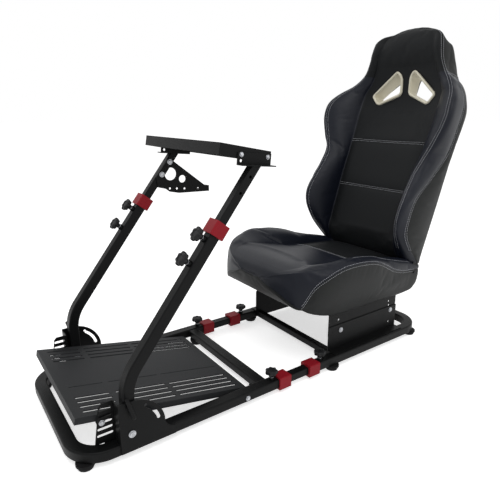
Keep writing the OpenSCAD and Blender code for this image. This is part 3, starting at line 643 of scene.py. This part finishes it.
def panel_points(a, b, count, puff, sink):
    """Points from a to b across one sewn panel: sunk at its seam, then puffed outwards."""
    a, b = Vector(a), Vector(b)
    along = b - a
    length = along.length
    if length < 1e-6:
        return [a.copy() for _ in range(count)]
    out = Vector((along.y, -along.x)) / length
    edge = min(0.0038 / length, 0.6 / count)
    points = [a - out * sink]
    for i in range(1, count):
        t = edge + (1 - 2 * edge) * (i - 1) / (count - 2)
        points.append(a + along * t + out * puff * math.sin(math.pi * t) ** 0.55)
    return points


def panel_depth(x, z):
    """Where the centre panel's face is, at a place across the back and a height."""
    (panel,), crease = PANEL(z), CREASE(z)
    t = min(1.0, abs(x) / crease[0])
    quilt = 0.007 * (1 - math.exp(-min(abs(z - r) for r in BACK_ROWS) / 0.012)) if z < 0.62 else 0.007
    lift = quilt * smooth_step(0.0, 0.10, BACK_TOP - z)
    return panel + (crease[1] - panel) * t**2.6 - lift * (1 - t**6)


def back_section(z):
    """Half of the back's outline at a height, from the middle of its front to that of its rear."""
    (shell,) = SHELL(z)
    crease, ridge, band, edge = (Vector(c(z)) for c in (CREASE, RIDGE, BAND, BACK_EDGE))
    fade = smooth_step(0.0, 0.10, BACK_TOP - z)
    body = 1 - smooth_step(NECK - 0.03, NECK + 0.02, z)
    points = []
    for i in range(BACK_FACES[0]):
        x = crease.x * i / BACK_FACES[0]
        points.append(Vector((x, panel_depth(x, z))))
    wing = panel_points(crease, ridge, BACK_FACES[1], 0.012 * fade, 0.0)
    for i, point in enumerate(wing):
        t = i / BACK_FACES[1]
        fold = abs(z - (WAIST - 0.03 + 0.05 * t)) / 0.055
        pinch = (0.013 * math.exp(-fold * 2.2) * math.sin(math.pi * min(1.0, t * 1.15))
                 * smooth_step(0.25, 0.6, t))
        pleat = (0.0055 * math.sin((z - 0.25 * t) * 520) * smooth_step(0.672, 0.705, z)
                 * (1 - smooth_step(0.742, 0.758, z)))
        point.y += pinch + pleat * math.sin(math.pi * t)
    points += wing
    waist = 1 - 0.45 * math.exp(-((z - WAIST) / 0.02) ** 2)
    size = min(1.0, (band - ridge).length / 0.09) * fade * (0.3 + (0.7 * waist) * body)
    points += [ridge + (band - ridge) * along + Vector((out, back)) * size for along, out, back in ROLL]
    points += panel_points(band, edge, BACK_FACES[3], 0.004 * fade, SEAM_SINK * body)
    for i in range(BACK_FACES[4]):
        t = i / BACK_FACES[4]
        points.append(Vector((edge.x * (1 - t), edge.y + (shell - edge.y) * (1 - (1 - t) ** 2.4))))
    points.append(Vector((0, shell)))
    meet = smooth_step(0.88, BACK_TOP, z) ** 2
    half = len(points) - 1
    for i, point in enumerate(points):
        turn = math.pi * min(i, half - i) / half
        point.x += (CROWN_WIDTH * math.sin(turn) - point.x) * meet
        point.y += (-0.026 - point.y) * smooth_step(0.90, BACK_TOP, z) ** 3
    return points


def on_back_skin(x, y, z):
    """As on_back, with a crown that falls away to the sides of the head, most at its rear."""
    drop = CROWN_DROP * (0.5 + 3 * smooth_step(-0.06, 0.02, y)) * (abs(x) / CROWN_WIDTH) ** 2.2
    return on_back(x, y, z - drop * smooth_step(0.86, BACK_TOP, z))


def back_material(face, z):
    """0 centre cloth, 1 leatherette, 2 side cover."""
    ends = [sum(BACK_FACES[: i + 1]) for i in range(len(BACK_FACES))]
    if z > NECK:
        return 0 if face < ends[1] else 2
    return 0 if face < ends[0] else 1 if face < ends[2] else 2


def loft(name, place, section, stations, materials, pick):
    """A closed skin through mirrored sections, each from one middle of the outline to the other."""
    half = len(section(stations[0])) - 1
    around = 2 * half
    rows = len(stations) - 1
    bm = bmesh.new()
    bmesh.ops.create_grid(bm, x_segments=around, y_segments=rows, size=1)
    for face in bm.faces:
        middle = face.calc_center_median()
        u, v = int((middle.x + 1) / 2 * around), int((middle.y + 1) / 2 * rows)
        face.material_index = pick(min(u, around - 1 - u), stations[v])
    cache, rims = {}, []
    for vert in bm.verts:
        u = round((vert.co.x + 1) / 2 * around)
        v = round((vert.co.y + 1) / 2 * rows)
        if v not in cache:
            cache[v] = section(stations[v])
        point = cache[v][u] if u <= half else cache[v][around - u]
        vert.co = place((1 if u <= half else -1) * point.x, point.y, stations[v])
        if u in (0, around) or v in (0, rows):
            rims.append(vert)
    bmesh.ops.remove_doubles(bm, verts=rims, dist=1e-5)
    bmesh.ops.holes_fill(bm, edges=[e for e in bm.edges if e.is_boundary], sides=0)
    bmesh.ops.recalc_face_normals(bm, faces=bm.faces)
    return mesh_object(name, bm, materials)


def subdivided(thing, levels=1):
    modifier = thing.modifiers.new("Smooth", "SUBSURF")
    modifier.levels = modifier.render_levels = levels
    return with_modifiers_applied(thing)


def stuffed(thing, held, frames=20, pressure=4.0, most=0.006):
    """Swells the cover like stuffing: cloth under pressure, held where held(vertex) says."""
    start = [v.co.copy() for v in thing.data.vertices]
    group = thing.vertex_groups.new(name="Held")
    for vert in thing.data.vertices:
        group.add([vert.index], held(vert), "REPLACE")
    modifier = thing.modifiers.new("Stuffing", "CLOTH")
    cloth = modifier.settings
    cloth.quality = 5
    cloth.mass = 0.3
    cloth.tension_stiffness = cloth.compression_stiffness = 15
    cloth.shear_stiffness = 5
    cloth.bending_stiffness = 0.5
    cloth.use_pressure = True
    cloth.uniform_pressure_force = pressure
    cloth.vertex_group_mass = group.name
    cloth.shrink_min = -0.004
    cloth.effector_weights.gravity = 0
    modifier.collision_settings.use_collision = False
    modifier.collision_settings.use_self_collision = False
    modifier.point_cache.frame_end = frames
    scene = bpy.context.scene
    for step in range(1, frames + 1):
        scene.frame_set(step)
    with_modifiers_applied(thing)
    scene.frame_set(1)
    for vert, first in zip(thing.data.vertices, start):
        move = vert.co - first
        if move.length > most:
            vert.co = first + move.normalized() * most
    thing.vertex_groups.clear()
    return thing


def bored(thing, cutter):
    """Cuts the cutter's form out of the object and deletes the cutter."""
    modifier = thing.modifiers.new("Cut", "BOOLEAN")
    modifier.operation = "DIFFERENCE"
    modifier.solver = "MANIFOLD"
    modifier.object = cutter
    with_modifiers_applied(thing)
    bpy.data.objects.remove(cutter)
    return thing


def stations_between(low, high, count, ease):
    """Places from low to high, closer together towards high where ease is over 1."""
    return [low + (high - low) * (1 - (1 - i / count) ** ease) for i in range(count + 1)]


def surface_finder(thing):
    bm = bmesh.new()
    bm.from_mesh(thing.data)
    tree = BVHTree.FromBMesh(bm)
    bm.free()
    return tree


def surface_seams(section, place, stations, faces, sewn_from=(0, 0, 0, 0)):
    """A finder of the points on the seams of a loft, each seam from the station where it starts."""
    starts = [sum(faces[:i]) for i in range(1, len(faces))]
    points = []
    for station in stations:
        outline = section(station)
        held = [i for i, first in zip(starts, sewn_from) if station >= first]
        points += [place(side * outline[i].x, outline[i].y, station) for i in held for side in (-1, 1)]
    finder = KDTree(len(points))
    for i, point in enumerate(points):
        finder.insert(point, i)
    finder.balance()
    return finder


def sewn_line(finder, line, length, pitch):
    """A bmesh with one stitch after another along the line, laid on the surface."""
    bm = bmesh.new()
    travelled, wanted = 0.0, pitch / 2
    for a, b in zip(line, line[1:]):
        step = (b - a).length
        while step > 1e-9 and wanted <= travelled + step:
            spot = a.lerp(b, (wanted - travelled) / step)
            hit, normal, _, _ = finder.find_nearest(spot)
            along = (b - a).normalized()
            along = (along - normal * along.dot(normal)).normalized()
            across = normal.cross(along)
            turn = Matrix((along, across, normal)).transposed().to_4x4()
            made = bmesh.ops.create_uvsphere(bm, u_segments=6, v_segments=4, radius=0.5)["verts"]
            size = Matrix.Diagonal((length, STITCH_WIDTH, STITCH_HEIGHT, 1))
            seat = Matrix.Translation(hit + normal * 0.0003)
            bmesh.ops.transform(bm, matrix=seat @ turn @ size, verts=made)
            wanted += pitch
        travelled += step
    return bm


def sewn(name, cover, lines, body):
    """One object with the stitches of all the lines on a cover."""
    seat = seat_settings()
    finder = surface_finder(cover)
    bm = bmesh.new()
    for line in lines:
        one = sewn_line(finder, line, seat.stitch, seat.stitch_pitch)
        mesh = bpy.data.meshes.new("line")
        one.to_mesh(mesh)
        one.free()
        bm.from_mesh(mesh)
        bpy.data.meshes.remove(mesh)
    piece = mesh_object(name, bm, [thread()])
    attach(piece, body)
    return piece


def beside_seam(section, first, shift):
    """The point of an outline that lies beside its seam, on one side or the other."""
    here = section[first]
    other = section[first + 3] if shift > 0 else section[first - 3]
    return here + (other - here).normalized() * abs(shift)


def seam_line(section, place, faces, seam, shift, low, high, side, count):
    """Points along one seam of a cover, shifted across it."""
    first = sum(faces[:seam])
    points = []
    for i in range(count + 1):
        station = low + (high - low) * i / count
        spot = beside_seam(section(station), first, shift)
        points.append(place(side * spot.x, spot.y, station))
    return points


def row_line(section, place, faces, station):
    """Points across the middle of a cover at a station, from crease to crease."""
    outline = section(station)[: faces[0] + 1]
    right = [place(p.x, p.y, station) for p in outline]
    left = [place(-p.x, p.y, station) for p in outline]
    return left[::-1] + right[1:]


BACK_COVER = (back_section, on_back_skin, BACK_FACES)


def neck_line(z, side):
    """Points across the side of the neck, from the ridge to the rear edge."""
    section = back_section(z)
    first, last = sum(BACK_FACES[:2]), sum(BACK_FACES[:4])
    return [on_back_skin(side * p.x, p.y, z) for p in section[first : last + 1]]


BELT_CORNERS = ((0.015, 0.688), (0.017, 0.754), (0.040, 0.780), (0.154, 0.681), (0.120, 0.642))


def belt_outline(inset):
    """The harness opening's rounded outline, in (x, z) of the back, pulled in by the inset."""
    bm = bmesh.new()
    verts = [bm.verts.new((x, z, 0)) for x, z in BELT_CORNERS]
    bmesh.ops.contextual_create(bm, geom=verts)
    bmesh.ops.bevel(
        bm, geom=bm.verts, offset=0.014, segments=8, profile=0.5, affect="VERTICES", material=-1)
    outline = [v.co.copy() for v in bm.faces[:][0].verts]
    bm.free()
    middle = sum(outline, Vector()) / len(outline)
    points = []
    for i, here in enumerate(outline):
        along = outline[(i + 1) % len(outline)] - outline[i - 1]
        inward = Vector((-along.y, along.x, 0)).normalized()
        if inward.dot(middle - here) < 0:
            inward.negate()
        points.append(here + inward * inset)
    return points


class COCKPIT_OT_seat_back(Operator):
    """Makes the padded back with its wings, headrest, harness openings and stitching"""

    bl_idname = "cockpit.seat_back"
    bl_label = "Make the seat back"

    def execute(self, context):
        stations = stations_between(BACK_LOW, BACK_TOP, 150, 1.35)
        back = loft("seat_back", on_back_skin, back_section, stations,
                    [centre_cloth(), leatherette(), side_leatherette()], back_material)
        seams = surface_seams(back_section, on_back_skin, stations, BACK_FACES)
        up = Vector((0, math.sin(BACK_TILT), math.cos(BACK_TILT)))

        def held(vert):
            height = (vert.co - HINGE).dot(up)
            rear = vert.normal.y > 0.55
            belt = abs(vert.co.x) < 0.17 and 0.625 < height < 0.795
            free = height >= 0.06 and not rear and not belt
            return 0.0 if free and seams.find(vert.co)[2] >= SEAM_REACH else 1.0

        stuffed(back, held)
        subdivided(back)
        for side in (-1, 1):
            bm = bmesh.new()
            corners = [on_back(side * p.x, -0.10, p.y) for p in belt_outline(0.004)]
            face = bmesh.ops.contextual_create(bm, geom=[bm.verts.new(c) for c in corners])["faces"]
            grown = bmesh.ops.extrude_face_region(bm, geom=face)["geom"]
            through = on_back(0, 0.25, 0) - on_back(0, 0, 0)
            far = [g for g in grown if isinstance(g, bmesh.types.BMVert)]
            bmesh.ops.translate(bm, vec=through, verts=far)
            bmesh.ops.recalc_face_normals(bm, faces=bm.faces)
            bored(back, mesh_object("belt_cutter", bm, [], smooth=False))
        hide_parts("backrest")
        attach(back, "backrest")
        twin = seat_settings().twin_gap / 2
        lines = []
        for side in (-1, 1):
            for shift in (-twin, twin):
                lines.append(seam_line(*BACK_COVER, 2, shift, 0.085, 0.930, side, 140))
                lines.append(seam_line(*BACK_COVER, 3, shift, 0.085, 0.742, side, 120))
            lines.append(neck_line(NECK + 0.004, side))
            lines.append(neck_line(NECK - 0.007, side))
        for row in BACK_ROWS:
            for offset in (-twin * 0.8, twin * 0.8):
                lines.append(row_line(*BACK_COVER, row + offset))
        sewn("seat_back_stitching", back, lines, "backrest")
        return {"FINISHED"}


# Curves of the cushion: from the front of the base, then how far out and how high
CUSHION_TOP = track([
    (0.708, 0.323), (0.714, 0.341), (0.725, 0.354), (0.745, 0.364), (0.790, 0.370), (0.842, 0.362),
    (0.938, 0.341), (1.046, 0.325), (1.161, 0.315), (1.234, 0.310), (1.300, 0.305), (1.375, 0.296)])
CUSHION_CREASE = track([
    (0.708, 0.04, 0.324), (0.714, 0.09, 0.342), (0.725, 0.125, 0.356), (0.745, 0.150, 0.366),
    (0.790, 0.172, 0.371), (0.842, 0.178, 0.361), (0.938, 0.178, 0.339), (1.046, 0.178, 0.323),
    (1.161, 0.178, 0.313), (1.300, 0.178, 0.303), (1.375, 0.178, 0.294)])
CUSHION_CREST = track([
    (0.708, 0.05, 0.324), (0.712, 0.10, 0.338), (0.721, 0.145, 0.352), (0.735, 0.178, 0.361),
    (0.755, 0.206, 0.368), (0.785, 0.234, 0.376), (0.824, 0.253, 0.384), (0.875, 0.260, 0.391),
    (0.905, 0.257, 0.394), (0.968, 0.247, 0.391), (1.061, 0.243, 0.377), (1.125, 0.238, 0.357),
    (1.206, 0.233, 0.336), (1.275, 0.228, 0.317), (1.375, 0.222, 0.290)])
CUSHION_SEAM = track([
    (0.708, 0.055, 0.318), (0.721, 0.150, 0.284), (0.735, 0.184, 0.262), (0.748, 0.208, 0.248),
    (0.757, 0.222, 0.250), (0.766, 0.232, 0.270), (0.776, 0.245, 0.300), (0.787, 0.259, 0.326),
    (0.824, 0.279, 0.356), (0.872, 0.289, 0.376), (0.932, 0.292, 0.381), (1.006, 0.289, 0.374),
    (1.061, 0.283, 0.360), (1.110, 0.273, 0.338), (1.170, 0.260, 0.308), (1.230, 0.250, 0.288),
    (1.290, 0.240, 0.276), (1.375, 0.231, 0.268)])
CUSHION_EDGE = track([
    (0.708, 0.05, 0.316), (0.712, 0.10, 0.294), (0.721, 0.146, 0.272), (0.735, 0.180, 0.252),
    (0.748, 0.202, 0.240), (0.766, 0.218, 0.236), (0.785, 0.224, 0.224), (0.824, 0.226, 0.207),
    (0.873, 0.227, 0.193), (0.930, 0.227, 0.186), (1.100, 0.227, 0.185), (1.330, 0.226, 0.185), (1.375, 0.224, 0.215)])
CUSHION_FRONT, CUSHION_REAR = 0.708, 1.372
CUSHION_ROW = 1.088
CUSHION_FACES = (12, 12, 8, 12, 8)


def cushion_section(y):
    """Half of the cushion's outline that far from the front, from its top to its bottom middle."""
    (top,) = CUSHION_TOP(y)
    crease, crest, seam, edge = (
        Vector(c(y)) for c in (CUSHION_CREASE, CUSHION_CREST, CUSHION_SEAM, CUSHION_EDGE))
    fade = min(1.0, max(0.0, (y - CUSHION_FRONT) / 0.12))
    points = []
    lift = 0.004 * (1 - math.exp(-abs(y - CUSHION_ROW) / 0.012))
    for i in range(CUSHION_FACES[0]):
        t = i / CUSHION_FACES[0]
        points.append(Vector((crease.x * t, top + (crease.y - top) * t**3 + lift * fade * (1 - t**6))))
    sewn_part = smooth_step(0.90, 1.02, y)
    for a, b, count, puff, sink in (
            (crease, crest, CUSHION_FACES[1], 0.004 + 0.008 * sewn_part, 0.0),
            (crest, seam, CUSHION_FACES[2], 0.006, SEAM_SINK * sewn_part),
            (seam, edge, CUSHION_FACES[3], 0.004, SEAM_SINK * smooth_step(0.750, 0.765, y))):
        points += flipped_panel(a, b, count, puff * fade, sink * fade)
    for i in range(CUSHION_FACES[4]):
        t = i / CUSHION_FACES[4]
        points.append(Vector((edge.x * (1 - t), edge.y)))
    points.append(Vector((0, edge.y)))
    return points


def flipped_panel(a, b, count, puff, sink):
    """As panel_points, for an outline that runs from the top down."""
    mirrored = panel_points((a.x, -a.y), (b.x, -b.y), count, puff, sink)
    return [Vector((p.x, -p.y)) for p in mirrored]


def on_cushion(x, z, y):
    return on_base(x, y, z + CUSHION_LIFT)


def cushion_material(face, y):
    """0 centre cloth, 1 leatherette, 2 side cover."""
    ends = [sum(CUSHION_FACES[: i + 1]) for i in range(len(CUSHION_FACES))]
    return 0 if face < ends[0] and y > CUSHION_ROW else 1 if face < ends[2] else 2


CUSHION_COVER = (cushion_section, on_cushion, CUSHION_FACES)


class COCKPIT_OT_seat_cushion(Operator):
    """Makes the padded cushion with its bolsters and stitching"""

    bl_idname = "cockpit.seat_cushion"
    bl_label = "Make the seat cushion"

    def execute(self, context):
        stations = [-s for s in stations_between(-CUSHION_REAR, -CUSHION_FRONT, 120, 1.9)]
        cushion = loft("cushion", on_cushion, cushion_section, stations,
                       [centre_cloth(), leatherette(), side_leatherette()], cushion_material)
        sewn_from = (1.0, 0.93, 0.757, 0)
        seams = surface_seams(cushion_section, on_cushion, stations, CUSHION_FACES, sewn_from)

        def held(vert):
            under = vert.normal.z < -0.5 or vert.co.y > FRONT + 1.30 or vert.co.z < 0.22
            return 1.0 if under or seams.find(vert.co)[2] < SEAM_REACH else 0.0

        stuffed(cushion, held)
        subdivided(cushion)
        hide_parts("seat_cushion")
        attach(cushion, "rear_frame")
        twin = seat_settings().twin_gap / 2
        lines = []
        for side in (-1, 1):
            for shift in (-twin, twin):
                lines.append(seam_line(*CUSHION_COVER, 3, shift, 0.757, 1.325, side, 240))
            lines.append(seam_line(*CUSHION_COVER, 2, twin, 0.945, 1.30, side, 80))
        for offset in (-twin * 0.6, twin * 0.6):
            lines.append(row_line(*CUSHION_COVER, CUSHION_ROW + offset))
        sewn("cushion_stitching", cushion, lines, "rear_frame")
        return {"FINISHED"}


# A bezel's rim: how far in from the opening's edge, and how deep
BEZEL_RIM = (
    (-0.001, 0.004), (-0.001, -0.002), (0.0006, -0.0052), (0.0030, -0.0070), (0.0060, -0.0068),
    (0.0082, -0.0050), (0.0092, -0.0015), (0.0098, 0.006), (0.0112, 0.040), (0.0108, 0.050),
    (0.0060, 0.052), (0.0045, 0.046), (0.0042, 0.012))


class COCKPIT_OT_belt_bezels(Operator):
    """Makes the two cream bezels that line the harness openings"""

    bl_idname = "cockpit.belt_bezels"
    bl_label = "Make the harness bezels"

    def execute(self, context):
        for side, word in ((1, "left"), (-1, "right")):
            bm = bmesh.new()
            rings = []
            for inset, depth in BEZEL_RIM:
                ring = []
                for p in belt_outline(inset):
                    y = panel_depth(p.x, p.y) + depth if depth < 0.012 else depth - 0.004
                    ring.append(bm.verts.new(on_back(side * p.x, y, p.y)))
                rings.append(ring)
            rings.append(rings[0])
            for a, b in zip(rings, rings[1:]):
                for i in range(len(a)):
                    j = (i + 1) % len(a)
                    bm.faces.new((a[i], a[j], b[j], b[i]))
            bmesh.ops.recalc_face_normals(bm, faces=bm.faces)
            bezel = sharpen(mesh_object("harness_bezel_" + word, bm, [cream_moulding()]), 60)
            if side == 1:
                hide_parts("belt_bezels")
            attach(bezel, "backrest")
        return {"FINISHED"}


def seen_rays(tree):
    """1 for what the camera sees straight, mirrored or through glass."""
    path = tree.nodes.new("ShaderNodeLightPath")
    seen = add_math(tree, "ADD", path.outputs["Is Camera Ray"], path.outputs["Is Glossy Ray"])
    return add_math(tree, "ADD", seen, path.outputs["Is Transmission Ray"], clamp=True)


# Soft lights: name, place, size and power
LAMPS = (
    ("key", (1.6, -1.2, 3.4), 2.2, 42), ("fill", (2.8, 1.4, 1.8), 1.6, 14),
    ("far", (-2.4, -0.6, 2.6), 1.8, 12))
LIT_POINT = Vector((0, 0.1, 0.45))


class COCKPIT_OT_studio(Operator):
    """Makes the floor, the soft lights and the camera"""

    bl_idname = "cockpit.studio"
    bl_label = "Make the studio"

    def execute(self, context):
        scene = context.scene
        studio = scene.cockpit_studio
        bm = bmesh.new()
        bmesh.ops.create_grid(bm, x_segments=1, y_segments=1, size=FLOOR_SIZE)
        bmesh.ops.translate(bm, vec=(0, 0, -FLOOR_DROP), verts=bm.verts)
        pale = bpy.data.materials.new("floor")
        pale.use_nodes = True
        shader = pale.node_tree.nodes["Principled BSDF"]
        shader.inputs["Base Color"].default_value = (0.9, 0.9, 0.9, 1)
        shader.inputs["Roughness"].default_value = 0.95
        shader.inputs["Specular IOR Level"].default_value = 0.0
        shader.inputs["Emission Color"].default_value = (1, 1, 1, 1)
        seen = seen_rays(pale.node_tree)
        glow = add_math(pale.node_tree, "MULTIPLY", seen, studio.floor_glow)
        pale.node_tree.links.new(glow, shader.inputs["Emission Strength"])
        mesh_object("floor", bm, [pale], smooth=False)
        world = bpy.data.worlds.new("studio")
        scene.world = world
        world.use_nodes = True
        tree = world.node_tree
        background = tree.nodes["Background"]
        level = add_math(tree, "MULTIPLY_ADD", seen_rays(tree), 0.45)
        level.node.inputs[2].default_value = 0.55
        tree.links.new(level, background.inputs["Strength"])
        background.inputs["Color"].default_value = (1, 1, 1, 1)
        for name, place, size, power in LAMPS:
            lamp = bpy.data.lights.new(name, "AREA")
            lamp.size = size
            lamp.energy = power
            thing = bpy.data.objects.new(name, lamp)
            scene.collection.objects.link(thing)
            thing.location = place
            towards = LIT_POINT - Vector(place)
            thing.rotation_euler = towards.to_track_quat("-Z", "Y").to_euler()
        lens = bpy.data.cameras.new("camera")
        lens.sensor_width = 36
        lens.lens = studio.focal_px / PICTURE * lens.sensor_width
        camera = bpy.data.objects.new("camera", lens)
        scene.collection.objects.link(camera)
        camera.location = on_base(*studio.camera)
        camera.rotation_euler = (math.pi / 2 - studio.pitch, 0, studio.azimuth)
        scene.camera = camera
        scene.view_settings.view_transform = "Standard"
        return {"FINISHED"}


OPERATORS = (
    COCKPIT_OT_studio, COCKPIT_OT_frame_finish, COCKPIT_OT_star_knobs, COCKPIT_OT_bolts,
    COCKPIT_OT_seat_back, COCKPIT_OT_seat_cushion, COCKPIT_OT_belt_bezels,
)


class COCKPIT_PT_sidebar(Panel):
    """Lists the cockpit's settings and steps"""

    bl_idname = "COCKPIT_PT_sidebar"
    bl_label = "Cockpit"
    bl_space_type = "VIEW_3D"
    bl_region_type = "UI"
    bl_category = "Cockpit"

    def draw(self, context):
        for settings in ("cockpit_frame", "cockpit_seat", "cockpit_studio"):
            group = getattr(context.scene, settings)
            box = self.layout.box()
            for name in group.bl_rna.properties.keys():
                if name not in ("rna_type", "name"):
                    box.prop(group, name)
        for operator in OPERATORS:
            self.layout.operator(operator.bl_idname)


CLASSES = (FrameFinish, SeatFinish, StudioSettings, *OPERATORS, COCKPIT_PT_sidebar)


def register():
    for cls in CLASSES:
        bpy.utils.register_class(cls)
    bpy.types.Scene.cockpit_frame = PointerProperty(type=FrameFinish)
    bpy.types.Scene.cockpit_seat = PointerProperty(type=SeatFinish)
    bpy.types.Scene.cockpit_studio = PointerProperty(type=StudioSettings)


def unregister():
    del bpy.types.Scene.cockpit_studio
    del bpy.types.Scene.cockpit_seat
    del bpy.types.Scene.cockpit_frame
    for cls in reversed(CLASSES):
        bpy.utils.unregister_class(cls)


def main():
    register()
    for operator in OPERATORS:
        group, name = operator.bl_idname.split(".")
        getattr(getattr(bpy.ops, group), name)()


if __name__ == "__main__":
    main()
